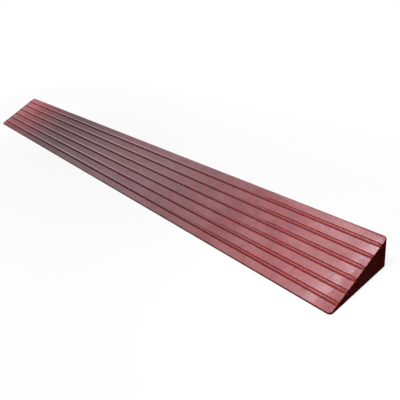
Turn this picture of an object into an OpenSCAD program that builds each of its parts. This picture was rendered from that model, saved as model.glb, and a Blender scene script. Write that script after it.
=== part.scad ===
// Threshold ramp: a long chambered wedge that bridges a raised door sill.
// +X runs along the sill, +Y from the toe to the high back, +Z up, in millimetres.
// The origin is on the floor, in the middle of the ramp.

/* [Ramp] */
// Length of the whole ramp, end plates included
ramp_length = 1000; // [600:10:1500]
// Depth from the toe to the back
ramp_depth = 100; // [85:1:140]
// Height of the back edge above the floor
ramp_height = 40; // [34:0.5:60]
// Thickness of the lip at the toe
toe_lip = 2.4; // [1.6:0.1:4]

/* [Deck profile] */
// Radius of the edge between the walking face and the back
top_edge_r = 1.5; // [1:0.1:4]
// Radius of the edge between the back and the base
base_edge_r = 1.2; // [0.5:0.1:3]
// Radius of the two edges of the toe lip
toe_edge_r = 0.7; // [0.3:0.1:0.9]
// Wall under the walking face
deck_wall = 5; // [4:0.1:7]
// Wall of the base
base_wall = 3.5; // [2.5:0.1:6]
// Wall of the back
back_wall = 4; // [3:0.1:6]
// Web between two chambers
web_wall = 3; // [2:0.1:5]
// Height of the first chamber at its low end
chamber_low_h = 5; // [3:0.1:9]
// Radius of the inside corners of a chamber
chamber_r = 1; // [0.3:0.1:2]

/* [Tread beads] */
// Distance along the slope from the top edge to the middle of the top bead
bead_top_margin = 14.5; // [9:0.1:20]
// Distance along the slope from the toe to the middle of the lowest bead
bead_toe_margin = 12.9; // [8:0.1:18]
// Width of a bead's crown where it lies on the deck
bead_w = 6.1; // [4.4:0.1:7]
// Width of a bead across its top
bead_top_w = 1.3; // [0.8:0.1:3]
// Height of a bead above the deck
bead_proud = 1; // [0.6:0.05:2]
// Radius of the two top edges of a bead
bead_edge_r = 0.5; // [0.1:0.05:0.7]
// Width of a bead's neck in the mouth of its groove
bead_neck_w = 4; // [3:0.1:4.2]
// Width of a bead's foot at the floor of its groove
bead_foot_w = 5.8; // [5:0.1:8]
// Depth of a bead's foot below the deck
bead_depth = 2.6; // [1.5:0.1:3.5]
// Height of the straight neck of a bead, just below the deck
bead_neck_h = 0.6; // [0.2:0.1:1.2]
// Clearance of a bead on each side of its groove
bead_fit = 0.1; // [0.05:0.01:0.3]

/* [End caps] */
// Thickness of an end plate
cap_plate_t = 5; // [2:0.1:8]
// Radius of the upright corners of an end plate, at most the plate's thickness
cap_corner_r = 4.5; // [0.5:0.1:6]
// Length of the spigots that enter the chambers
spigot_length = 16; // [8:1:40]
// Wall of a hollow spigot
spigot_wall = 1.6; // [1:0.1:2.5]
// Clearance of a spigot on each side of its chamber
spigot_fit = 0.25; // [0.1:0.05:0.5]
// Least height of the hollow in a spigot
pocket_low_h = 1.6; // [0.8:0.1:4]

/* [Foot strips] */
// Width of a foot strip
foot_w = 10; // [6:0.5:14]
// Depth of a foot strip's seat in the base
foot_seat = 1.5; // [0.8:0.1:2]
// Height of the base above the floor
foot_proud = 0.5; // [0.2:0.1:1.5]
// Distance from the toe to the middle of the front strip
foot_front_inset = 14; // [10:0.5:20]
// Distance from the back to the middle of the rear strip
foot_rear_inset = 13; // [10:0.5:20]
// Clearance of a foot strip on each side of its seat
foot_fit = 0.15; // [0.05:0.05:0.4]
// Width of a grip groove under a foot strip
grip_groove_w = 0.9; // [0.4:0.1:1.2]
// Depth of a grip groove under a foot strip
grip_groove_h = 0.4; // [0.1:0.05:0.6]

/* [Hidden] */
// Extra length of every cut past the face that it opens
overrun = 1;
// Turn that stands a drawn section up along the ramp
quarter_turn = 90;
bead_count = 6;
chamber_count = 3;
grip_groove_count = 2;
// Flat steps in the round of one corner
arc_steps = 6;
// Part of a chamber's low end that one corner radius may take up
corner_share = 0.4;

bead_names = [for (i = [1:bead_count]) str("tread_bead_", i)];
foot_names = ["foot_strip_front", "foot_strip_middle", "foot_strip_rear"];

deck_colour = [0.46, 0.14, 0.13];
bead_colour = [0.55, 0.15, 0.13];
cap_colour = [0.44, 0.13, 0.12];
foot_colour = [0.12, 0.11, 0.11];

deck_length = ramp_length - 2 * cap_plate_t;
toe_y = -ramp_depth / 2;
back_y = ramp_depth / 2;
base_z = foot_proud;
toe_top = [toe_y, base_z + toe_lip];

// The walking face rises from the toe lip and is tangent to the round top edge
top_arc_offset = [back_y - top_edge_r, ramp_height - top_edge_r] - toe_top;
slope_angle = atan2(top_arc_offset.y, top_arc_offset.x) + asin(top_edge_r / norm(top_arc_offset));
slope_length = ramp_depth / cos(slope_angle);
uphill = [cos(slope_angle), sin(slope_angle)];
off_deck = [-sin(slope_angle), cos(slope_angle)];
sharp_top = toe_top + slope_length * uphill;

bead_pitch = (slope_length - bead_top_margin - bead_toe_margin) / (bead_count - 1);

chamber_floor = base_z + base_wall;
chamber_start = open_y(0, chamber_low_h);
chamber_w = (back_y - back_wall - chamber_start - (chamber_count - 1) * web_wall) / chamber_count;

foot_front_y = toe_y + foot_front_inset;
foot_rear_y = back_y - foot_rear_inset;
foot_places = [foot_front_y, (foot_front_y + foot_rear_y) / 2, foot_rear_y];

// Point of the section at a distance along the slope from the toe and a height square to it
function on_deck(along, up) = toe_top + along * uphill + up * off_deck;

// Height of the line that runs a given depth below the walking face
function under_deck_z(y, depth) = toe_top.y + (y - toe_y) * tan(slope_angle) - depth / cos(slope_angle);

// Place where the hollow, drawn in by inset from its walls, is as high as asked
function open_y(inset, high) =
    toe_y + (chamber_floor + inset + high - under_deck_z(toe_y, deck_wall + inset)) / tan(slope_angle);

// Corners of chamber i, drawn in by inset and at least low_h high at the low end
function chamber_points(i, inset, low_h) = let (
    start = chamber_start + i * (chamber_w + web_wall),
    low_y = max(start + inset, open_y(inset, low_h)),
    high_y = start + chamber_w - inset,
    floor_z = chamber_floor + inset
) [
    [low_y, floor_z],
    [high_y, floor_z],
    [high_y, under_deck_z(high_y, deck_wall + inset)],
    [low_y, under_deck_z(low_y, deck_wall + inset)]
];

// Distance along the slope from the toe to the middle of bead i, which counts from the top
function bead_place(i) = slope_length - bead_top_margin - (i - 1) * bead_pitch;

function turned(p, angle) = [p.x * cos(angle) - p.y * sin(angle), p.x * sin(angle) + p.y * cos(angle)];

// Points along the arc that rounds corner b between its neighbours a and c
function round_corner(a, b, c, radius) = radius == 0 ? [b] : let (
    to_a = (a - b) / norm(a - b),
    to_c = (c - b) / norm(c - b),
    half_angle = acos(to_a * to_c) / 2,
    centre = b + (to_a + to_c) / norm(to_a + to_c) * radius / sin(half_angle),
    first = b + to_a * radius / tan(half_angle) - centre,
    sweep = sign(cross(b - a, c - b)) * 2 * (quarter_turn - half_angle)
) [for (step = [0:arc_steps]) centre + turned(first, sweep * step / arc_steps)];

// Polygon whose corners are round, each with its own radius
module rounded_polygon(points, radii) {
    count = len(points);
    polygon([
        for (i = [0:count - 1])
            each round_corner(points[(i + count - 1) % count], points[i], points[(i + 1) % count], radii[i])
    ]);
}

// Section drawn with y across and z up, carried along the ramp
module along_ramp(start, length) {
    translate([start, 0, 0])
        rotate([quarter_turn, 0, quarter_turn])
            linear_extrude(height = length) children();
}

// Outline of the wedge
module wedge_outline() {
    rounded_polygon(
        [[toe_y, base_z], [back_y, base_z], sharp_top, toe_top],
        [toe_edge_r, base_edge_r, top_edge_r, toe_edge_r]
    );
}

// Outline of chamber i, or of what fits inside it
module chamber_outline(i, inset, low_h) {
    points = chamber_points(i, inset, low_h);
    radius = min(chamber_r, corner_share * (points[3].y - points[0].y));
    rounded_polygon(points, [for (p = points) radius]);
}

// Dovetail groove for bead i, open past the walking face
module bead_groove(i) {
    mouth = bead_neck_w / 2 + bead_fit;
    bed = bead_foot_w / 2 + bead_fit;
    polygon([
        for (p = [
            [-bed, -bead_depth], [bed, -bead_depth], [mouth, -bead_neck_h],
            [mouth, overrun], [-mouth, overrun], [-mouth, -bead_neck_h]
        ]) on_deck(bead_place(i) + p.x, p.y)
    ]);
}

// Seat for the foot strip at y, open past the base
module foot_seat_cut(y) {
    translate([y - foot_w / 2 - foot_fit, base_z - overrun])
        square([foot_w + 2 * foot_fit, foot_seat + overrun]);
}

// Outline of the wedge with the grooves for its beads, shared by the deck and the end plates
module grooved_outline() {
    difference() {
        wedge_outline();
        for (i = [1:bead_count]) bead_groove(i);
    }
}

// Extruded wedge with its bead grooves, chambers and foot seats
module deck_profile() {
    color(deck_colour)
        along_ramp(-deck_length / 2, deck_length)
            difference() {
                grooved_outline();
                for (i = [0:chamber_count - 1]) chamber_outline(i, 0, chamber_low_h);
                for (y = foot_places) foot_seat_cut(y);
            }
}

// Soft bead i, which runs through both end plates: a dovetail foot, a straight neck and a wider, tapered
// crown that lies on the walking face
module tread_bead(i) {
    half_section = [
        [bead_foot_w / 2, -bead_depth], [bead_neck_w / 2, -bead_neck_h], [bead_neck_w / 2, 0],
        [bead_w / 2, 0], [bead_top_w / 2, bead_proud]
    ];
    half_radii = [0, 0, 0, 0, bead_edge_r];
    last = len(half_section) - 1;
    section = concat(half_section, [for (k = [last:-1:0]) [-half_section[k].x, half_section[k].y]]);
    radii = concat(half_radii, [for (k = [last:-1:0]) half_radii[k]]);
    color(bead_colour)
        along_ramp(-ramp_length / 2, ramp_length)
            rounded_polygon([for (p = section) on_deck(bead_place(i) + p.x, p.y)], radii);
}

// Plan of the whole ramp with round upright corners
module round_plan() {
    end_x = ramp_length / 2;
    corners = [[-end_x, toe_y], [end_x, toe_y], [end_x, back_y], [-end_x, back_y]];
    radius = min(cap_corner_r, cap_plate_t);
    rounded_polygon(corners, [for (c = corners) radius]);
}

// Hollow plug that fills the mouth of chamber i
module spigot(i) {
    inner_end = deck_length / 2 - spigot_length;
    difference() {
        along_ramp(inner_end, spigot_length + cap_plate_t / 2)
            chamber_outline(i, spigot_fit, pocket_low_h);
        along_ramp(inner_end - overrun, spigot_length + overrun)
            chamber_outline(i, spigot_fit + spigot_wall, pocket_low_h);
    }
}

// End plate with the grooved outline and a spigot for each chamber
module end_cap_right() {
    color(cap_colour) {
        intersection() {
            along_ramp(deck_length / 2, cap_plate_t) grooved_outline();
            linear_extrude(height = ramp_height + overrun) round_plan();
        }
        for (i = [0:chamber_count - 1]) spigot(i);
    }
}

module end_cap_left() {
    mirror([1, 0, 0]) end_cap_right();
}

// Soft strip in the base with grip grooves along its underside
module foot_strip(y) {
    groove_pitch = foot_w / (grip_groove_count + 1);
    color(foot_colour)
        along_ramp(-deck_length / 2, deck_length)
            translate([y - foot_w / 2, 0])
                difference() {
                    square([foot_w, foot_proud + foot_seat]);
                    for (i = [1:grip_groove_count])
                        translate([i * groove_pitch - grip_groove_w / 2, -overrun])
                            square([grip_groove_w, grip_groove_h + overrun]);
                }
}

deck_profile();
for (i = [1:bead_count]) tread_bead(i);
end_cap_right();
end_cap_left();
for (i = [0:len(foot_names) - 1]) foot_strip(foot_places[i]);
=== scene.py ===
"""Looks of a threshold ramp: a chambered wedge with soft tread beads, end caps and foot strips.

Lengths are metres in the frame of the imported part: +X runs along the sill, +Y from the toe to the high
back and +Z up, with the origin on the floor under the middle of the ramp. A section is drawn in Y and Z,
counter-clockwise as seen from +X.
"""

import logging
import math
from dataclasses import dataclass, field
from enum import Enum

import bpy
import numpy as np
from bpy.types import Material, Mesh, Node, NodeSocket as Socket, NodeTree, Object
from mathutils import Matrix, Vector
from mathutils.geometry import tessellate_polygon


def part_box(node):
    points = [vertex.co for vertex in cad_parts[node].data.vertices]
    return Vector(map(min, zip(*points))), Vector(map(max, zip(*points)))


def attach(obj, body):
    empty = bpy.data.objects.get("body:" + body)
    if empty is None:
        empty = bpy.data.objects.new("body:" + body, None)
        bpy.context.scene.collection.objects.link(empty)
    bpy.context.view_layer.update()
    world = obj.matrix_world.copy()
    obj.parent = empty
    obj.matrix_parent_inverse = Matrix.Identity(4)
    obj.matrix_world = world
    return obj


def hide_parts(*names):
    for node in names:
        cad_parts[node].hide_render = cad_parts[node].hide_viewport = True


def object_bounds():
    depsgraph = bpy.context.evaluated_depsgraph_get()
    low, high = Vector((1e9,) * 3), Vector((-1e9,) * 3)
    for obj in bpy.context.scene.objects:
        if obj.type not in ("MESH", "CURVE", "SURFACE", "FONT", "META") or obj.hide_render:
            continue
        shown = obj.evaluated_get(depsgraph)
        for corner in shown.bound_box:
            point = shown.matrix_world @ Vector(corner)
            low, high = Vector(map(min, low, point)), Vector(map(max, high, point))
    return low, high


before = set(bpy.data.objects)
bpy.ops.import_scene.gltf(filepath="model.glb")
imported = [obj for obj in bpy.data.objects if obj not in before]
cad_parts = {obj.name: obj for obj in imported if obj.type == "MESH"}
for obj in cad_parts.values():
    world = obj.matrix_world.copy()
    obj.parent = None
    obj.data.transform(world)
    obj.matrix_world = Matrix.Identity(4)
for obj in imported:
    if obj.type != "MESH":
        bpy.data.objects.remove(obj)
CAD_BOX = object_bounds()

LOG = logging.getLogger("threshold_ramp")
BODY = "root"

# Numbers that a mesh keeps at each point: the height on a bead's crown and the brightness of a panel
CROWN = "crown"
GLOW = "glow"

Colour = tuple[float, float, float, float]
Place = tuple[float, float, float]
Span = tuple[float, float]
Array = np.ndarray

WHITE: Colour = (1.0, 1.0, 1.0, 1.0)
BLACK: Colour = (0.0, 0.0, 0.0, 1.0)


class Slot(Enum):
    """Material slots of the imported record."""

    DECK = "deck"
    BEAD = "bead"
    CAP = "cap"
    FOOT = "foot"


class End(Enum):
    """The two ends of the ramp, as the sign of their X."""

    RIGHT = 1
    LEFT = -1


@dataclass(frozen=True)
class Pattern:
    """Cloudy noise with its own number of blotches per metre along X, Y and Z.

    Each of its finer octaves is as strong as the one before it times the harshness. The seed is a shift that
    makes one pattern differ from another, and the window holds the two values that it is spread between.
    """

    per_metre: tuple[float, float, float]
    octaves: float
    seed: float
    harsh: float = 0.5
    window: Span = (0.35, 0.65)


def wired(node: Node, inputs: dict[str | int, object]) -> Node:
    """Link inputs of a node to sockets, and set others to constants.

    Args:
        node: Node to wire.
        inputs: Socket or constant of each input, by the input's name or place.

    Returns:
        The same node.
    """
    for place, value in inputs.items():
        if isinstance(value, Socket):
            node.id_data.links.new(value, node.inputs[place])
        else:
            node.inputs[place].default_value = value
    return node


class ShaderGraph:
    """Node tree of one surface finish, built from a few kinds of pattern."""

    # Places of the colour sockets of a Mix node, which shares their names with its other sockets
    MIX_FIRST, MIX_SECOND, MIX_RESULT = 6, 7, 2

    def __init__(self, name: str) -> None:
        """Start a material with a principled shader and Object coordinates.

        Args:
            name: Name of the material.
        """
        self.material = bpy.data.materials.new(name)
        self.material.use_nodes = True
        self.tree = self.material.node_tree
        self.shader = self.tree.nodes["Principled BSDF"]
        self.place = self.tree.nodes.new("ShaderNodeTexCoord").outputs["Object"]

    def noise(self, pattern: Pattern) -> Socket:
        """Lay a pattern over the object.

        Args:
            pattern: Pattern to lay.

        Returns:
            Socket with the pattern, about 0 to 1.
        """
        lattice = {"Vector": self.place, "Location": (pattern.seed,) * 3, "Scale": pattern.per_metre}
        place = wired(self.tree.nodes.new("ShaderNodeMapping"), lattice).outputs["Vector"]
        layers = {"Vector": place, "Scale": 1.0, "Detail": pattern.octaves, "Roughness": pattern.harsh}
        return wired(self.tree.nodes.new("ShaderNodeTexNoise"), layers).outputs["Fac"]

    def spread(self, value: Socket, window: Span, low: float, high: float) -> Socket:
        """Spread the values inside a window over low to high, and clamp the others."""
        limits = {"Value": value, "From Min": window[0], "From Max": window[1], "To Min": low, "To Max": high}
        return wired(self.tree.nodes.new("ShaderNodeMapRange"), limits).outputs["Result"]

    def added(self, first: Socket, second: Socket) -> Socket:
        """Add two patterns."""
        return wired(self.tree.nodes.new("ShaderNodeMath"), {0: first, 1: second}).outputs["Value"]

    def blend(self, share: Socket, first: Colour | Socket, second: Colour) -> Socket:
        """Mix two colours by a pattern.

        Args:
            share: Pattern from 0, all first, to 1, all second.
            first: Colour at 0, or a socket with it.
            second: Colour at 1.

        Returns:
            Socket with the mixed colour.
        """
        mix = self.tree.nodes.new("ShaderNodeMix")
        mix.data_type = "RGBA"
        wired(mix, {"Factor": share, self.MIX_FIRST: first, self.MIX_SECOND: second})
        return mix.outputs[self.MIX_RESULT]

    def bump(self, height: Socket, depth: float) -> None:
        """Press a pattern into the surface, after any bump that is already there.

        Args:
            height: Pattern of heights.
            depth: Real height of the pattern from 0 to 1, in metres.
        """
        dent = {"Strength": 1.0, "Distance": depth, "Height": height}
        normal = self.shader.inputs["Normal"]
        if normal.is_linked:
            dent["Normal"] = normal.links[0].from_socket
        press = wired(self.tree.nodes.new("ShaderNodeBump"), dent)
        self.tree.links.new(press.outputs["Normal"], normal)

    def dress(self, colour: Socket, roughness: Socket, specular: float) -> None:
        """Give the shader its colour, its roughness and its sheen."""
        wired(self.shader, {"Base Color": colour, "Roughness": roughness, "Specular IOR Level": specular})


@dataclass(frozen=True)
class PlasticFinish:
    """Half-gloss red plastic with clouds, streaks along the draw, speckle, thin haze and shallow waves."""

    name: str
    dark: Colour = (0.12, 0.001, 0.001, 1.0)
    light: Colour = (0.31, 0.026, 0.020, 1.0)
    haze_colour: Colour = (0.42, 0.165, 0.155, 1.0)
    gloss_rough: float = 0.05
    dull_rough: float = 0.08
    specular: float = 0.5
    cloud_share: float = 0.38
    streak_share: float = 0.2
    speckle_share: float = 0.42
    haze_share: float = 0.20
    dimple_depth: float = 0.00009
    peel_depth: float = 0.000022
    grain_depth: float = 0.000004
    streak_depth: float = 0.000003
    cloud: Pattern = Pattern((110.0, 110.0, 110.0), 3.0, 1.7, window=(0.38, 0.62))
    streak: Pattern = Pattern((3.0, 420.0, 420.0), 2.0, 4.3, window=(0.3, 0.7))
    speckle: Pattern = Pattern((650.0, 650.0, 650.0), 2.0, 3.6)
    haze: Pattern = Pattern((18.0, 18.0, 18.0), 5.0, 7.3, harsh=0.75, window=(0.42, 0.58))
    patch: Pattern = Pattern((55.0, 220.0, 220.0), 2.0, 8.1)
    dimple: Pattern = Pattern((55.0, 55.0, 55.0), 1.0, 6.4)
    peel: Pattern = Pattern((210.0, 210.0, 210.0), 1.0, 2.9)
    grain: Pattern = Pattern((900.0, 900.0, 900.0), 2.0, 0.0)

    def colour(self, graph: ShaderGraph, streak: Socket) -> Socket:
        """Colour of the plastic: clouds, streaks and speckle tint it, and thin haze lies over it.

        Args:
            graph: Node tree to build in.
            streak: Pattern of streaks along the draw.

        Returns:
            Socket with the colour.
        """
        clouds = graph.spread(graph.noise(self.cloud), self.cloud.window, 0.0, self.cloud_share)
        streaks = graph.spread(streak, self.streak.window, 0.0, self.streak_share)
        speckles = graph.spread(graph.noise(self.speckle), self.speckle.window, 0.0, self.speckle_share)
        tint = graph.added(graph.added(clouds, streaks), speckles)
        haze = graph.spread(graph.noise(self.haze), self.haze.window, 0.0, self.haze_share)
        return graph.blend(haze, graph.blend(tint, self.dark, self.light), self.haze_colour)

    def material(self) -> Material:
        """Make the material: its colour, its patchy gloss, and the dents of waves, grain and streaks.

        Returns:
            The finished material.
        """
        graph = ShaderGraph(self.name)
        streak = graph.noise(self.streak)
        patches = graph.spread(graph.noise(self.patch), self.patch.window, self.gloss_rough, self.dull_rough)
        graph.dress(self.colour(graph, streak), patches, self.specular)
        graph.bump(graph.noise(self.dimple), self.dimple_depth)
        graph.bump(graph.noise(self.peel), self.peel_depth)
        graph.bump(graph.noise(self.grain), self.grain_depth)
        graph.bump(streak, self.streak_depth)
        return graph.material


@dataclass(frozen=True)
class BeadFinish(PlasticFinish):
    """Softer and less hazy red plastic of a bead, with painted shade along the foot of its crown."""

    dark: Colour = (0.18, 0.012, 0.010, 1.0)
    light: Colour = (0.255, 0.023, 0.019, 1.0)
    gloss_rough: float = 0.08
    dull_rough: float = 0.13
    specular: float = 0.45
    haze_share: float = 0.05
    dimple_depth: float = 0.00004
    peel_depth: float = 0.000012
    # Painted shade in the crease at the foot of the crown: its colour, its share at the foot, and the crown
    # height where it ends
    painted_shade: Colour = (0.045, 0.006, 0.006, 1.0)
    painted_shade_share: float = 0.55
    painted_shade_reach: float = 0.8

    def colour(self, graph: ShaderGraph, streak: Socket) -> Socket:
        """Colour of the bead, which painted shade darkens less and less up to its reach.

        Args:
            graph: Node tree to build in.
            streak: Pattern of streaks along the draw.

        Returns:
            Socket with the colour.
        """
        crown = graph.tree.nodes.new("ShaderNodeAttribute")
        crown.attribute_name = CROWN
        # Painted shade: the colour is darkest at the foot of the crown, where it meets the deck, and fades
        # out up the crown
        share = graph.spread(crown.outputs["Fac"], (0.0, self.painted_shade_reach), self.painted_shade_share, 0.0)
        return graph.blend(share, super().colour(graph, streak), self.painted_shade)


@dataclass(frozen=True)
class RubberFinish:
    """Matt black rubber with an even, fine grain and a little dust."""

    name: str
    dark: Colour = (0.014, 0.013, 0.013, 1.0)
    light: Colour = (0.022, 0.020, 0.020, 1.0)
    dust: Colour = (0.06, 0.055, 0.05, 1.0)
    dust_share: float = 0.35
    dust_window: Span = (0.5, 0.85)
    clean_rough: float = 0.7
    dusty_rough: float = 0.82
    rough_window: Span = (0.3, 0.8)
    specular: float = 0.3
    grain_depth: float = 0.00005
    grain: Pattern = Pattern((2200.0, 2200.0, 2200.0), 2.0, 0.0)
    cloud: Pattern = Pattern((60.0, 60.0, 60.0), 4.0, 5.2)

    def material(self) -> Material:
        """Make the material: grain tints and dents it, and thin dust lies in clouds.

        Returns:
            The finished material.
        """
        graph = ShaderGraph(self.name)
        grain = graph.noise(self.grain)
        cloud = graph.noise(self.cloud)
        rubber = graph.blend(graph.spread(grain, self.grain.window, 0.0, 1.0), self.dark, self.light)
        dust_share = graph.spread(cloud, self.dust_window, 0.0, self.dust_share)
        roughness = graph.spread(cloud, self.rough_window, self.clean_rough, self.dusty_rough)
        graph.dress(graph.blend(dust_share, rubber, self.dust), roughness, self.specular)
        graph.bump(grain, self.grain_depth)
        return graph.material


def rounded_loop(corners: Array, radii: Array | float, steps: int) -> Array:
    """Closed outline whose corners are arcs.

    Each arc is tangent to the two sides that meet at its corner: its centre lies on the corner's bisector
    at the radius over the sine of half the corner's angle, and it turns by a half turn less that angle.

    Args:
        corners: Corner points, one row each.
        radii: Radius of every corner, or one for all.
        steps: Straight steps in each arc.

    Returns:
        Points of the outline, one row each.
    """
    radii = np.broadcast_to(np.asarray(radii, float), len(corners))[:, None]
    back = np.roll(corners, 1, axis=0) - corners
    ahead = np.roll(corners, -1, axis=0) - corners
    back = back / np.linalg.norm(back, axis=1, keepdims=True)
    ahead = ahead / np.linalg.norm(ahead, axis=1, keepdims=True)
    half = np.arccos(np.clip(np.sum(back * ahead, axis=1, keepdims=True), -1.0, 1.0)) / 2
    bisector = (back + ahead) / np.linalg.norm(back + ahead, axis=1, keepdims=True)
    centres = corners + bisector * radii / np.sin(half)
    first = corners + back * radii / np.tan(half) - centres
    side = np.sign(ahead[:, :1] * back[:, 1:] - ahead[:, 1:] * back[:, :1])
    angles = side * (math.pi - 2 * half) * np.linspace(0.0, 1.0, steps + 1)
    cosine, sine = np.cos(angles), np.sin(angles)
    arcs = np.stack(
        [first[:, :1] * cosine - first[:, 1:] * sine, first[:, :1] * sine + first[:, 1:] * cosine], axis=-1
    )
    return (centres[:, None, :] + arcs).reshape(-1, 2)


def divided(loop: Array, spacing: float) -> Array:
    """Split the long sides of an outline into equal steps of at most a spacing.

    Args:
        loop: Points of a closed outline.
        spacing: Longest step that is left.

    Returns:
        Points of the same outline, with more of them.
    """
    side = np.roll(loop, -1, axis=0) - loop
    counts = np.maximum(1, np.ceil(np.linalg.norm(side, axis=1) / spacing)).astype(int)
    index = np.repeat(np.arange(len(loop)), counts)
    share = (np.arange(counts.sum()) - np.repeat(np.cumsum(counts) - counts, counts)) / counts[index]
    return loop[index] + share[:, None] * side[index]


def swept(loop: Array, stations: Array) -> Array:
    """Carry an outline straight along X.

    Args:
        loop: Outline in Y and Z, or one outline for each station.
        stations: X of each copy of the outline.

    Returns:
        Grid of points, with one row for each station.
    """
    grid = np.empty((len(stations), loop.shape[-2], 3))
    grid[..., 0] = stations[:, None]
    grid[..., 1:] = loop
    return grid


class Shell:
    """Closed mesh made of swept walls and the flat faces that close them."""

    def __init__(self) -> None:
        """Start with no points and no faces."""
        self.points: list[Array] = []
        self.faces: list[list[int]] = []
        self.count = 0

    def wall(self, grid: Array, outward: bool = True) -> Array:
        """Add a wall: a grid of points whose rows are closed outlines.

        Args:
            grid: Points as rows by columns by 3, with rows along +X.
            outward: Whether the wall faces away from the inside of its outline.

        Returns:
            Point numbers as rows by columns.
        """
        rows, columns = grid.shape[:2]
        index = self.count + np.arange(rows * columns).reshape(rows, columns)
        beside = np.roll(index, -1, axis=1)
        quads = np.stack([index[:-1], beside[:-1], beside[1:], index[1:]], axis=-1).reshape(-1, 4)
        self.points.append(grid.reshape(-1, 3))
        self.faces += (quads if outward else quads[:, ::-1]).tolist()
        self.count += rows * columns
        return index

    def lid(self, loops: list[Array], facing: int) -> None:
        """Close the flat space between one outline and the holes in it.

        Args:
            loops: Point numbers of the outline and of each hole.
            facing: Sign of the X that the face looks along.
        """
        index = np.concatenate(loops)
        points = np.concatenate(self.points)
        triangles = np.array(tessellate_polygon([points[loop].tolist() for loop in loops]))
        corners = points[index[triangles]]
        turn = np.cross(corners[:, 1] - corners[:, 0], corners[:, 2] - corners[:, 0])[:, 0].sum()
        self.faces += index[triangles if turn * facing > 0 else triangles[:, ::-1]].tolist()

    def bar(self, grid: Array) -> None:
        """Add a solid bar: a wall with a flat face at each end.

        Args:
            grid: Points as rows by columns by 3, with rows along +X.
        """
        rings = self.wall(grid)
        self.lid([rings[0]], -1)
        self.lid([rings[-1]], 1)

    def piece(self, name: str, material: Material, slot: Slot, sharp_deg: float = 40.0) -> Object:
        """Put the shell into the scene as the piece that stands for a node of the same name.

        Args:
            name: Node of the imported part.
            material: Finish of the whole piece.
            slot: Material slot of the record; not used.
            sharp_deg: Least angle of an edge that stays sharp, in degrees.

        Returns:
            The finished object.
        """
        mesh = bpy.data.meshes.new(name + "_look")
        mesh.from_pydata(np.concatenate(self.points).tolist(), [], self.faces)
        mesh.polygons.foreach_set("use_smooth", np.ones(len(mesh.polygons), bool))
        mesh.set_sharp_from_angle(angle=math.radians(sharp_deg))
        mesh.materials.append(material)
        mesh.update()
        piece = bpy.data.objects.new(name + "_look", mesh)
        bpy.context.scene.collection.objects.link(piece)
        piece.modifiers.new("flat_faces", "WEIGHTED_NORMAL").keep_sharp = True
        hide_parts(name)
        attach(piece, BODY)
        return piece


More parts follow.
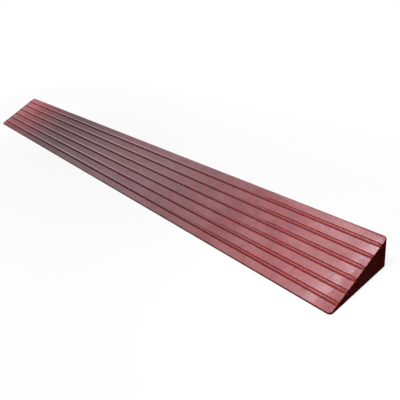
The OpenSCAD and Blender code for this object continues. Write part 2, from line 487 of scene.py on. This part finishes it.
@dataclass
class RampSection:
    """Cross-section that all the pieces share."""

    toe_lip: float = 0.0024
    top_edge_r: float = 0.0015
    base_edge_r: float = 0.0012
    toe_edge_r: float = 0.0007
    deck_wall: float = 0.005
    base_wall: float = 0.0035
    back_wall: float = 0.004
    web_wall: float = 0.003
    chamber_low_h: float = 0.005
    chamber_r: float = 0.001
    chamber_corner_share: float = 0.4
    chamber_count: int = 3
    bead_count: int = 6
    bead_top_margin: float = 0.0145
    bead_toe_margin: float = 0.0129
    arc_steps: int = 6
    start_x: float = field(init=False)
    end_x: float = field(init=False)
    toe_y: float = field(init=False)
    back_y: float = field(init=False)
    base_z: float = field(init=False)
    toe_top: Array = field(init=False)
    slope: float = field(init=False)
    slope_length: float = field(init=False)
    uphill: Array = field(init=False)
    off_deck: Array = field(init=False)

    def __post_init__(self) -> None:
        """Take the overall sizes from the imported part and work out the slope.

        The walking face starts at the top of the toe lip and is tangent to the round top edge, so it rises
        by the angle to that edge's centre plus the angle whose sine is the radius over the distance.
        """
        low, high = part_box("deck_profile")
        self.start_x, self.end_x = low[0], high[0]
        self.toe_y, self.back_y = low[1], high[1]
        self.base_z = low[2]
        self.toe_top = np.array([self.toe_y, self.base_z + self.toe_lip])
        offset = np.array([self.back_y - self.top_edge_r, high[2] - self.top_edge_r]) - self.toe_top
        self.slope = math.atan2(offset[1], offset[0]) + math.asin(self.top_edge_r / np.linalg.norm(offset))
        self.slope_length = (self.back_y - self.toe_y) / math.cos(self.slope)
        self.uphill = np.array([math.cos(self.slope), math.sin(self.slope)])
        self.off_deck = np.array([-math.sin(self.slope), math.cos(self.slope)])

    def on_deck(self, along: Array, up: Array) -> Array:
        """Points at distances along the slope from the toe and heights square to it."""
        return self.toe_top + np.multiply.outer(along, self.uphill) + np.multiply.outer(up, self.off_deck)

    def above_deck(self, loop: Array) -> Array:
        """Heights of points square to the walking face, negative below it."""
        return (loop - self.toe_top) @ self.off_deck

    def under_deck_z(self, y: float, depth: float) -> float:
        """Height of the line that runs a depth below the walking face."""
        return self.toe_top[1] + (y - self.toe_y) * math.tan(self.slope) - depth / math.cos(self.slope)

    def open_y(self, inset: float, high: float) -> float:
        """Place where the hollow, drawn in from its walls, is as high as asked."""
        roof = self.under_deck_z(self.toe_y, self.deck_wall + inset)
        return self.toe_y + (self.base_z + self.base_wall + inset + high - roof) / math.tan(self.slope)

    def bead_places(self) -> Array:
        """Distances along the slope from the toe to the beads, top bead first."""
        return np.linspace(self.slope_length - self.bead_top_margin, self.bead_toe_margin, self.bead_count)

    def wedge_corners(self) -> Array:
        """Sharp corners of the wedge: toe, back, top and the top of the toe lip."""
        sharp_top = self.toe_top + self.slope_length * self.uphill
        return np.array([[self.toe_y, self.base_z], [self.back_y, self.base_z], sharp_top, self.toe_top])

    def wedge_radii(self) -> Array:
        """Radii of the wedge's corners, in their order."""
        return np.array([self.toe_edge_r, self.base_edge_r, self.top_edge_r, self.toe_edge_r])

    def chamber(self, number: int, inset: float, low_h: float) -> Array:
        """Outline of a chamber, or of what fits inside it.

        Args:
            number: Chamber, counted from the toe.
            inset: Distance that the outline is drawn in by.
            low_h: Least height at the low end.

        Returns:
            Points of the outline.
        """
        first = self.open_y(0.0, self.chamber_low_h)
        room = self.back_y - self.back_wall - first - (self.chamber_count - 1) * self.web_wall
        width = room / self.chamber_count
        start = first + number * (width + self.web_wall)
        low_y = max(start + inset, self.open_y(inset, low_h))
        high_y = start + width - inset
        floor = self.base_z + self.base_wall + inset
        low_z, high_z = (self.under_deck_z(y, self.deck_wall + inset) for y in (low_y, high_y))
        corners = np.array([[low_y, floor], [high_y, floor], [high_y, high_z], [low_y, low_z]])
        radius = min(self.chamber_r, self.chamber_corner_share * (low_z - floor))
        return rounded_loop(corners, radius, self.arc_steps)


@dataclass
class TreadBeads:
    """Soft beads pressed into dovetail grooves of the walking face."""

    section: RampSection
    finish: BeadFinish
    width: float = 0.0061
    top_width: float = 0.0013
    proud: float = 0.001
    edge_r: float = 0.0005
    neck_width: float = 0.0040
    foot_width: float = 0.0058
    depth: float = 0.0026
    neck_h: float = 0.0006
    fit: float = 0.0001
    inner_r: float = 0.00015
    lip_r: float = 0.00005
    end_gap: float = 0.0003
    end_run: float = 0.003
    end_share: float = 0.25
    end_steps: int = 10
    sharp_deg: float = 15.0
    station_count: int = 60

    def grooves(self, drop: float) -> tuple[Array, Array]:
        """Corners and radii of all the grooves, each from its uphill mouth edge to its downhill one.

        Args:
            drop: Depth of the mouth edges below the walking face.

        Returns:
            Corners and their radii, top groove first.
        """
        mouth, bed = self.neck_width / 2 + self.fit, self.foot_width / 2 + self.fit
        across = np.add.outer(self.section.bead_places(), [mouth, mouth, bed, -bed, -mouth, -mouth]).ravel()
        up = -np.array([drop, self.neck_h, self.depth, self.depth, self.neck_h, drop])
        corners = self.section.on_deck(across, np.tile(up, self.section.bead_count))
        return corners, np.full(len(across), self.inner_r)

    def stations(self, name: str) -> Array:
        """Places of a bead's rings along X, close together where its crown runs out.

        Args:
            name: Node of the bead.

        Returns:
            X of each ring.
        """
        low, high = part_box(name)
        first, last = low[0] + self.end_gap, high[0] - self.end_gap
        close = np.linspace(0.0, self.end_run, self.end_steps, endpoint=False)
        wide = np.linspace(first + self.end_run, last - self.end_run, self.station_count)
        return np.concatenate([first + close, wide, (last - close)[::-1]])

    def run_out(self, loop: Array, stations: Array) -> Array:
        """Drop of the crown towards both ends of a bead.

        Over the last run the height above the deck falls to the end share, along half a cosine wave.

        Args:
            loop: Outline in Y and Z.
            stations: X of each ring.

        Returns:
            Drop square to the deck, stations by points.
        """
        from_end = np.minimum(stations - stations[0], stations[-1] - stations)
        fall = (1.0 + np.cos(math.pi * np.clip(from_end / self.end_run, 0.0, 1.0))) / 2
        height = np.clip(self.section.above_deck(loop), 0.0, None)
        return (1.0 - self.end_share) * np.multiply.outer(fall, height)

    def bead(self, name: str, loop: Array, material: Material) -> Object:
        """Make one bead: its outline is carried along X through both end plates, and its crown runs out.

        Args:
            name: Node of the bead.
            loop: Outline in Y and Z.
            material: Finish of the bead.

        Returns:
            The piece, which keeps the height on its crown, from 0 at the deck to 1 at the top.
        """
        stations = self.stations(name)
        grid = swept(loop, stations)
        grid[..., 1:] -= np.multiply.outer(self.run_out(loop, stations), self.section.off_deck)
        shell = Shell()
        shell.bar(grid)
        piece = shell.piece(name, material, Slot.BEAD, self.sharp_deg)
        height = np.clip(self.section.above_deck(loop) / self.proud, 0.0, 1.0)
        crown = piece.data.attributes.new(CROWN, "FLOAT", "POINT")
        crown.data.foreach_set("value", np.tile(height, len(stations)))
        return piece

    def build(self) -> list[Object]:
        """Make all the beads.

        A bead's section is a dovetail foot, a straight neck and a wider, tapered crown with round top edges.

        Returns:
            The pieces, top bead first.
        """
        half = np.array([
            [self.foot_width / 2, -self.depth],
            [self.neck_width / 2, -self.neck_h],
            [self.neck_width / 2, 0.0],
            [self.width / 2, 0.0],
            [self.top_width / 2, self.proud],
        ])
        half_radii = np.array([self.inner_r, self.inner_r, self.inner_r, self.lip_r, self.edge_r])
        corners = np.concatenate([half, half[::-1] * [-1.0, 1.0]])
        radii = np.concatenate([half_radii, half_radii[::-1]])
        material = self.finish.material()
        pieces = []
        for number, place in enumerate(self.section.bead_places(), start=1):
            points = self.section.on_deck(place + corners[:, 0], corners[:, 1])
            loop = rounded_loop(points, radii, self.section.arc_steps)
            pieces.append(self.bead(f"tread_bead_{number}", loop, material))
        return pieces


@dataclass
class FootStrips:
    """Soft grip strips let into the base."""

    section: RampSection
    finish: RubberFinish
    seat: float = 0.0015
    fit: float = 0.00015
    groove_w: float = 0.0009
    groove_h: float = 0.0004
    groove_count: int = 2
    edge_r: float = 0.00012
    names: tuple[str, ...] = ("foot_strip_front", "foot_strip_middle", "foot_strip_rear")

    def seat_corners(self, name: str) -> Array:
        """Corners of the seat of one strip, from its toe side to its back side.

        Args:
            name: Node of the strip.

        Returns:
            Corner points, one row each.
        """
        low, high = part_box(name)
        base, top = self.section.base_z, self.section.base_z + self.seat
        toe_side, back_side = low[1] - self.fit, high[1] + self.fit
        return np.array([[toe_side, base], [toe_side, top], [back_side, top], [back_side, base]])

    def strip_corners(self, name: str) -> Array:
        """Corners of one strip, with the grooves along its underside.

        Args:
            name: Node of the strip.

        Returns:
            Corner points, one row each.
        """
        low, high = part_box(name)
        middles = np.linspace(low[1], high[1], self.groove_count + 2)[1:-1]
        across = (middles[:, None] + self.groove_w / 2 * np.array([-1.0, -1.0, 1.0, 1.0])).ravel()
        up = low[2] + np.tile(self.groove_h * np.array([0.0, 1.0, 1.0, 0.0]), self.groove_count)
        grooves = np.stack([across, up], axis=-1)
        far_side = [[high[1], low[2]], [high[1], high[2]], [low[1], high[2]]]
        return np.concatenate([[[low[1], low[2]]], grooves, far_side])

    def build(self) -> list[Object]:
        """Make the strips: a flat bar with grooves along its underside, carried along X.

        Returns:
            The pieces, front strip first.
        """
        stations = np.array([self.section.start_x, self.section.end_x])
        material = self.finish.material()
        pieces = []
        for name in self.names:
            loop = rounded_loop(self.strip_corners(name), self.edge_r, self.section.arc_steps)
            shell = Shell()
            shell.bar(swept(loop, stations))
            pieces.append(shell.piece(name, material, Slot.FOOT))
        return pieces


@dataclass
class DeckProfile:
    """Extruded wedge with chambers, bead grooves and foot seats."""

    section: RampSection
    beads: TreadBeads
    feet: FootStrips
    finish: PlasticFinish
    seat_r: float = 0.0003
    point_spacing: float = 0.003
    station_count: int = 160
    wave_height: float = 0.00008
    wave_lengths: tuple[float, ...] = (0.31, 0.19, 0.117, 0.073)
    wave_slant: float = 0.4
    wave_shift: float = 0.37
    wave_depth: float = 0.006
    toe_fade: float = 0.012

    def outline(self) -> Array:
        """Outer outline of the profile, with its seats and grooves.

        Returns:
            Points of the outline.
        """
        wedge, wedge_radii = self.section.wedge_corners(), self.section.wedge_radii()
        seats = np.concatenate([self.feet.seat_corners(name) for name in self.feet.names])
        seat_radii = np.full(len(seats), self.seat_r)
        grooves, groove_radii = self.beads.grooves(0.0)
        corners = np.concatenate([wedge[:1], seats, wedge[1:3], grooves, wedge[3:]])
        radii = np.concatenate([wedge_radii[:1], seat_radii, wedge_radii[1:3], groove_radii, wedge_radii[3:]])
        return divided(rounded_loop(corners, radii, self.section.arc_steps), self.point_spacing)

    def waves(self, stations: Array, loop: Array) -> Array:
        """Slight dips that an extruded wall keeps from cooling.

        The dip is a sum of slow sines of X, each with a phase that drifts across the deck, scaled to lie
        between nothing and the wave height. It fades out below the walking face and towards the toe.

        Args:
            stations: X of each ring.
            loop: Outline in Y and Z.

        Returns:
            Depth of the dip, stations by points.
        """
        across = (loop - self.section.toe_top) @ self.section.uphill
        below = -self.section.above_deck(loop)
        lengths = np.array(self.wave_lengths)[:, None, None]
        shifts = self.wave_shift * np.arange(len(self.wave_lengths))[:, None, None]
        turns = stations[:, None] / lengths + across / (self.wave_slant * lengths) + shifts
        total = np.mean(np.sin(2 * math.pi * turns), axis=0)
        reach = np.clip(1.0 - below / self.wave_depth, 0.0, 1.0) * np.clip(across / self.toe_fade, 0.0, 1.0)
        return self.wave_height * (total + 1.0) / 2 * reach

    def build(self) -> Object:
        """Make the profile: the outline and the chambers are carried along X and closed at both ends.

        Returns:
            The piece.
        """
        section = self.section
        loop = self.outline()
        stations = np.linspace(section.start_x, section.end_x, self.station_count)
        grid = swept(loop, stations)
        grid[..., 2] -= self.waves(stations, loop)
        shell = Shell()
        rings = [shell.wall(grid)]
        for number in range(section.chamber_count):
            hollow = section.chamber(number, 0.0, section.chamber_low_h)
            rings.append(shell.wall(swept(hollow, stations[[0, -1]]), outward=False))
        shell.lid([ring[0] for ring in rings], -1)
        shell.lid([ring[-1] for ring in rings], 1)
        return shell.piece("deck_profile", self.finish.material(), Slot.DECK)


@dataclass
class EndCap:
    """Moulded end plate with a soft rim, the beads' grooves and a hollow spigot for each chamber."""

    section: RampSection
    beads: TreadBeads
    end: End
    upright_r: float = 0.0045
    heel_r: float = 0.0015
    rim_r: float = 0.0004
    spigot_length: float = 0.016
    spigot_wall: float = 0.0016
    spigot_fit: float = 0.00025
    pocket_low_h: float = 0.0016
    rim_steps: int = 8

    def outline(self, inset: float, heel_inset: float, drop: float) -> Array:
        """Outline of the plate at one station, with the beads' grooves.

        Args:
            inset: Distance that the toe and the top of the back are drawn in by.
            heel_inset: Distance that the foot of the back is drawn in by.
            drop: Distance that the slope and the base are drawn in by.

        Returns:
            Points of the outline.
        """
        section = self.section
        low_y, high_y = section.toe_y + inset, section.back_y - inset
        heel_y = section.back_y - heel_inset
        floor = section.base_z + drop
        low_z, high_z = (section.under_deck_z(y, drop) for y in (low_y, high_y))
        corners = np.array([[low_y, floor], [heel_y, floor], [high_y, high_z], [low_y, low_z]])
        radii = section.wedge_radii()
        grooves, groove_radii = self.beads.grooves(drop)
        return rounded_loop(
            np.concatenate([corners[:3], grooves, corners[3:]]),
            np.concatenate([radii[:3], groove_radii, radii[3:]]),
            section.arc_steps,
        )

    def rim(self, joint_x: float, face_x: float) -> Array:
        """Side of the plate, from its joint with the deck to its flat face.

        Seen from above, the toe and the top of the back end in quarter circles of the upright radius, and the
        foot of the back in one of the heel radius. The slope and the base end in ones of the rim radius.

        Args:
            joint_x: X of the joint, without its sign.
            face_x: X of the flat face, without its sign.

        Returns:
            Grid of points, from the joint to the face.
        """
        bend = np.sin(np.linspace(0.0, math.pi / 2, self.rim_steps + 1)) - 1.0
        radii = (self.upright_r, self.heel_r, self.rim_r)
        stations = np.unique(np.concatenate([[joint_x], (face_x + np.multiply.outer(radii, bend)).ravel()]))
        sizes = np.array(radii)[:, None]
        insets = sizes - np.sqrt(sizes**2 - np.clip(stations - face_x + sizes, 0.0, sizes) ** 2)
        return swept(np.array([self.outline(*at_station) for at_station in insets.T]), stations)

    def build(self, material: Material) -> Object:
        """Make the cap: a plate with a soft rim, and spigots that are carried along X.

        Args:
            material: Finish of the cap.

        Returns:
            The piece.
        """
        section, sign = self.section, self.end.value
        name = "end_cap_" + self.end.name.lower()
        low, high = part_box(name)
        face_x = max(abs(low[0]), abs(high[0]))
        joint_x = section.end_x
        mirror = np.array([sign, 1.0, 1.0])
        shell = Shell()
        plate = shell.wall(self.rim(joint_x, face_x) * mirror, outward=sign > 0)
        shell.lid([plate[-1]], sign)
        reach = np.array([joint_x - self.spigot_length, joint_x])
        roots = [plate[0]]
        for number in range(section.chamber_count):
            plug = section.chamber(number, self.spigot_fit, self.pocket_low_h)
            pocket = section.chamber(number, self.spigot_fit + self.spigot_wall, self.pocket_low_h)
            outside = shell.wall(swept(plug, reach) * mirror, outward=sign > 0)
            inside = shell.wall(swept(pocket, reach) * mirror, outward=sign < 0)
            shell.lid([outside[0], inside[0]], -sign)
            shell.lid([inside[1]], -sign)
            roots.append(outside[1])
        shell.lid(roots, -sign)
        return shell.piece(name, material, Slot.CAP)


class Aim(Enum):
    """Ways that a lamp can face, as its turns about X and Z in degrees."""

    DOWN = (0.0, 0.0)
    FORWARD = (-90.0, 0.0)
    RIGHT = (90.0, -90.0)
    LEFT = (90.0, 90.0)


@dataclass(frozen=True)
class Lamp:
    """Soft lamp, whose light comes back only from matt colour: the panels lend the sheen."""

    name: str
    at: Place
    size: Span
    watts: float
    aim: Aim = Aim.DOWN

    def build(self) -> None:
        """Hang the lamp."""
        data = bpy.data.lights.new(self.name, "AREA")
        data.shape = "RECTANGLE"
        data.size, data.size_y = self.size
        data.energy = self.watts
        lamp = bpy.data.objects.new(self.name, data)
        lamp.location = self.at
        about_x, about_z = self.aim.value
        lamp.rotation_euler = (math.radians(about_x), 0.0, math.radians(about_z))
        lamp.visible_camera = False
        lamp.visible_glossy = False
        bpy.context.scene.collection.objects.link(lamp)


@dataclass(frozen=True)
class Panel:
    """Part of a wide dome that only mirrored light meets: bright parts lend sheen, dark ones hold it back.

    Directions are turns from -X towards +Y and elevations, as seen from the ramp's middle, in degrees. The
    glow holds pairs of an angle above the plane that is square to the pole and the brightness there.
    """

    name: str
    turn_deg: Span
    rise_deg: Span
    glow: tuple[Span, ...]
    pole: Place = (0.0, 0.0, 1.0)
    tint: Colour = (0.95, 0.98, 1.11, 1.0)
    radius: float = 60.0
    columns: int = 61
    rows: int = 81

    def mesh(self) -> Mesh:
        """Grid of turns and elevations on a sphere, with its glow kept at each point.

        A direction's X is minus the cosine of its turn and its Y the sine, both times the cosine of its
        elevation, and its Z is the sine of its elevation.

        Returns:
            The mesh, without its material.
        """
        turn = np.radians(np.linspace(*self.turn_deg, self.columns))
        rise = np.radians(np.linspace(*self.rise_deg, self.rows))[:, None]
        parts = (-np.cos(turn) * np.cos(rise), np.sin(turn) * np.cos(rise), np.sin(rise) + 0.0 * turn)
        directions = np.stack(parts, axis=-1).reshape(-1, 3)
        index = np.arange(self.rows * self.columns).reshape(self.rows, self.columns)
        quads = np.stack([index[:-1, :-1], index[:-1, 1:], index[1:, 1:], index[1:, :-1]], axis=-1)
        mesh = bpy.data.meshes.new(self.name)
        mesh.from_pydata((self.radius * directions).tolist(), [], quads.reshape(-1, 4).tolist())
        above = np.degrees(np.arcsin(np.clip(directions @ np.array(self.pole), -1.0, 1.0)))
        glow = np.interp(above, *zip(*self.glow))
        mesh.attributes.new(GLOW, "FLOAT", "POINT").data.foreach_set("value", glow)
        return mesh

    def material(self) -> Material:
        """Make the panel glow as bright as its mesh says, without spending samples on it as a lamp.

        Returns:
            The finished material.
        """
        material = bpy.data.materials.new(self.name)
        material.cycles.emission_sampling = "NONE"
        material.use_nodes = True
        tree = material.node_tree
        tree.nodes.clear()
        glow = tree.nodes.new("ShaderNodeAttribute")
        glow.attribute_name = GLOW
        shine = {"Color": self.tint, "Strength": glow.outputs["Fac"]}
        light = wired(tree.nodes.new("ShaderNodeEmission"), shine)
        wired(tree.nodes.new("ShaderNodeOutputMaterial"), {"Surface": light.outputs[0]})
        return material

    def build(self) -> None:
        """Hang the panel."""
        mesh = self.mesh()
        mesh.materials.append(self.material())
        panel = bpy.data.objects.new(self.name, mesh)
        panel.visible_camera = False
        panel.visible_diffuse = False
        panel.visible_shadow = False
        bpy.context.scene.collection.objects.link(panel)


@dataclass
class Studio:
    """Pale floor, white surround, soft lamps, dome panels and the camera."""

    lens_mm: float = 38.3219
    camera_at: Place = (0.673120, -0.310785, 0.321804)
    azimuth: float = 0.941015
    elevation: float = 0.524645
    roll: float = -0.149790
    clip_start: float = 0.01
    floor_half: Span = (7.0, 7.0)
    floor_bounce: float = 0.10
    floor_grey: float = 0.85
    near_white: float = 0.90
    white_reach: float = 0.35
    ambient: float = 0.05
    cloth_half: Span = (0.9, 0.45)
    cloth_lift: float = 0.0003
    lamps: tuple[Lamp, ...] = (
        Lamp("near_lamp", (0.475, -0.08, 0.31), (0.06, 0.06), 1.25),
        Lamp("middle_lamp", (0.05, 0.03, 0.25), (0.20, 0.10), 0.185),
        Lamp("far_lamp", (-0.465, 0.012, 0.186), (0.12, 0.12), 0.40),
        Lamp("fill_lamp", (0.0, 0.10, 1.6), (0.8, 0.8), 2.0),
        Lamp("back_lamp", (0.0, 1.4, 0.25), (0.9, 0.3), 8.0, Aim.FORWARD),
        Lamp("left_lamp", (-1.5, 0.2, 0.22), (0.3, 0.3), 4.0, Aim.RIGHT),
        Lamp("right_lamp", (1.6, 0.3, 0.35), (0.5, 0.5), 0.8, Aim.LEFT),
    )
    low_rise_deg: Span = (1.0, 32.0)
    high_rise_deg: Span = (32.0, 88.0)
    sheen_pole: Place = (0.8329, -0.4059, 0.3761)
    sheen: tuple[Span, ...] = (
        (-41.3, 0.7), (-40.6, 0.28), (-39.4, 0.55), (-36.0, 0.8), (-30.0, 1.45), (-26.0, 1.9), (-15.0, 2.1),
        (-8.0, 3.0), (-3.0, 3.7), (-1.6, 3.7), (-0.8, 5.4), (-0.1, 11.5), (0.1, 2.6),
    )
    corner_gain: float = 1.3
    window: tuple[Span, ...] = (
        (10.0, 0.6), (14.1, 0.85), (15.7, 1.2), (19.7, 2.0), (26.2, 1.4), (32.0, 1.2),
    )
    shade: tuple[Span, ...] = ((0.0, 0.10), (40.0, 0.10), (52.0, 1.2), (90.0, 1.2))
    left_dusk: tuple[Span, ...] = ((0.0, 0.02), (22.0, 0.02), (40.0, 0.5), (90.0, 0.5))
    front_dark: tuple[Span, ...] = ((0.0, 0.03), (90.0, 0.03))

    def panels(self) -> tuple[Panel, ...]:
        """List the dome's panels: a bright sky over -X, a low window beside it, and dark sides.

        Returns:
            The panels, which meet edge to edge.
        """
        low, high = self.low_rise_deg, self.high_rise_deg
        corner = tuple((angle, self.corner_gain * level) for angle, level in self.sheen)
        return (
            Panel("high_panel", (-10.0, 15.5), high, self.sheen, self.sheen_pole),
            Panel("corner_panel", (15.5, 26.0), high, corner, self.sheen_pole),
            Panel("low_panel", (-10.0, 11.0), low, self.sheen, self.sheen_pole),
            Panel("window_panel", (11.0, 48.0), low, self.window),
            Panel("shade_panel", (26.0, 48.0), high, self.shade),
            Panel("left_panel", (-76.0, -10.0), (low[0], 60.0), self.left_dusk),
            Panel("front_panel", (-135.0, -76.0), (low[0], 52.0), self.front_dark),
            Panel("back_panel", (48.0, 135.0), (low[0], high[1]), self.shade),
        )

    def aim(self) -> Matrix:
        """Turn of the camera: it looks down its elevation, along its azimuth, rolled about its own axis.

        Returns:
            Rotation whose columns are the camera's right, up and backward directions.
        """
        back = np.array([
            math.sin(self.azimuth) * math.cos(self.elevation),
            -math.cos(self.azimuth) * math.cos(self.elevation),
            math.sin(self.elevation),
        ])
        level = np.cross([0.0, 0.0, 1.0], back)
        level /= np.linalg.norm(level)
        upright = np.cross(back, level)
        right = math.cos(self.roll) * level + math.sin(self.roll) * upright
        up = -math.sin(self.roll) * level + math.cos(self.roll) * upright
        return Matrix(np.stack([right, up, back], axis=-1).tolist())

    def build_camera(self) -> None:
        """Place the camera and make it the scene's own."""
        data = bpy.data.cameras.new("view")
        data.lens = self.lens_mm
        data.clip_start = self.clip_start
        camera = bpy.data.objects.new("view", data)
        camera.matrix_world = Matrix.Translation(self.camera_at) @ self.aim().to_4x4()
        bpy.context.scene.collection.objects.link(camera)
        bpy.context.scene.camera = camera

    @staticmethod
    def seen(tree: NodeTree) -> Socket:
        """Tell where the surround is looked at, mirrored or seen through something clear.

        Args:
            tree: Node tree to build in.

        Returns:
            Socket that is 1 there and 0 elsewhere.
        """
        path = tree.nodes.new("ShaderNodeLightPath")
        result = path.outputs["Is Camera Ray"]
        for name in ("Is Glossy Ray", "Is Transmission Ray"):
            larger = tree.nodes.new("ShaderNodeMath")
            larger.operation = "MAXIMUM"
            result = wired(larger, {0: result, 1: path.outputs[name]}).outputs[0]
        return result

    @staticmethod
    def matt(tree: NodeTree, grey: float) -> Socket:
        """Add a matt grey surface."""
        return wired(tree.nodes.new("ShaderNodeBsdfDiffuse"), {"Color": (grey, grey, grey, 1.0)}).outputs[0]

    @staticmethod
    def mixed(tree: NodeTree, share: Socket, first: Socket, second: Socket) -> Socket:
        """Mix two surfaces by the share of the second."""
        return wired(tree.nodes.new("ShaderNodeMixShader"), {0: share, 1: first, 2: second}).outputs[0]

    def white_share(self, tree: NodeTree) -> Socket:
        """Share of plain white in the floor, which grows with the distance from the ramp's footprint.

        The distance is the length of what X and Y, without their signs, reach past the footprint's corner.

        Args:
            tree: Node tree to build in.

        Returns:
            Socket with the share.
        """
        place = tree.nodes.new("ShaderNodeTexCoord").outputs["Object"]
        corner = (*CAD_BOX[1][:2], 0.0)
        steps = {"ABSOLUTE": {}, "SUBTRACT": {1: corner}, "MAXIMUM": {1: (0.0, 0.0, 0.0)}, "LENGTH": {}}
        for operation, second in steps.items():
            step = tree.nodes.new("ShaderNodeVectorMath")
            step.operation = operation
            place = wired(step, {0: place, **second}).outputs["Value" if operation == "LENGTH" else "Vector"]
        limits = {"Value": place, "From Max": self.white_reach, "To Min": self.near_white}
        return wired(tree.nodes.new("ShaderNodeMapRange"), limits).outputs["Result"]

    def floor_material(self) -> Material:
        """Make the floor white where it is seen, apart from the shadow close by, and dim for other light.

        Returns:
            The finished material.
        """
        material = bpy.data.materials.new("pale_floor")
        material.cycles.emission_sampling = "NONE"
        material.use_nodes = True
        tree = material.node_tree
        tree.nodes.clear()
        glow = wired(tree.nodes.new("ShaderNodeEmission"), {"Color": WHITE}).outputs[0]
        look = self.mixed(tree, self.white_share(tree), self.matt(tree, self.floor_grey), glow)
        floor = self.mixed(tree, self.seen(tree), self.matt(tree, self.floor_bounce), look)
        wired(tree.nodes.new("ShaderNodeOutputMaterial"), {"Surface": floor})
        return material

    @staticmethod
    def sheet(name: str, half: Span, lift: float, material: Material) -> Object:
        """Lay a flat rectangle round the ramp, as part of the stage.

        Args:
            name: Name of the rectangle.
            half: Half of its length and of its depth.
            lift: Height above the ground.
            material: Finish of the rectangle.

        Returns:
            The rectangle.
        """
        corners = np.array([(-1.0, -1.0), (1.0, -1.0), (1.0, 1.0), (-1.0, 1.0)]) * half
        mesh = bpy.data.meshes.new(name)
        mesh.from_pydata(np.insert(corners, 2, lift, axis=1).tolist(), [], [(0, 1, 2, 3)])
        mesh.materials.append(material)
        rectangle = bpy.data.objects.new(name, mesh)
        bpy.context.scene.collection.objects.link(rectangle)
        return rectangle

    def build_cloth(self) -> None:
        """Lay a black cloth on the floor round the ramp, where only mirrored light meets it."""
        material = bpy.data.materials.new("cloth")
        material.use_nodes = True
        shader = material.node_tree.nodes["Principled BSDF"]
        wired(shader, {"Base Color": BLACK, "Specular IOR Level": 0.0})
        cloth = self.sheet("cloth", self.cloth_half, self.cloth_lift, material)
        cloth.visible_camera = False
        cloth.visible_diffuse = False
        cloth.visible_shadow = False

    def build_world(self) -> None:
        """Set the surround: white where it is seen or mirrored, and a soft grey light elsewhere."""
        world = bpy.data.worlds.new("surround")
        world.use_nodes = True
        tree = world.node_tree
        tree.nodes.clear()
        limits = {"Value": self.seen(tree), "To Min": self.ambient}
        strength = wired(tree.nodes.new("ShaderNodeMapRange"), limits).outputs["Result"]
        light = wired(tree.nodes.new("ShaderNodeBackground"), {"Color": WHITE, "Strength": strength})
        wired(tree.nodes.new("ShaderNodeOutputWorld"), {"Surface": light.outputs[0]})
        bpy.context.scene.world = world

    def build(self) -> None:
        """Set up the camera, floor, cloth, surround, lamps and panels."""
        self.build_camera()
        self.sheet("floor", self.floor_half, 0.0, self.floor_material())
        self.build_cloth()
        self.build_world()
        for light in (*self.lamps, *self.panels()):
            light.build()
        bpy.context.scene.view_settings.view_transform = "Standard"


def main() -> None:
    """Build and dress every piece, then set up the studio."""
    logging.basicConfig(level=logging.INFO, format="%(message)s")
    section = RampSection()
    beads = TreadBeads(section, BeadFinish("bead_plastic"))
    feet = FootStrips(section, RubberFinish("foot_rubber"))
    deck = DeckProfile(section, beads, feet, PlasticFinish("deck_plastic"))
    cap_finish = PlasticFinish(
        "cap_plastic", gloss_rough=0.06, dull_rough=0.10, dimple_depth=0.00004, peel_depth=0.000012
    )
    pieces = [deck.build(), *beads.build()]
    cap_material = cap_finish.material()
    pieces += [EndCap(section, beads, end).build(cap_material) for end in End]
    pieces += feet.build()
    for piece in pieces:
        mesh = piece.data
        LOG.info("%s: %d points, %d faces", piece.name, len(mesh.vertices), len(mesh.polygons))
    Studio().build()


if __name__ == "__main__":
    main()
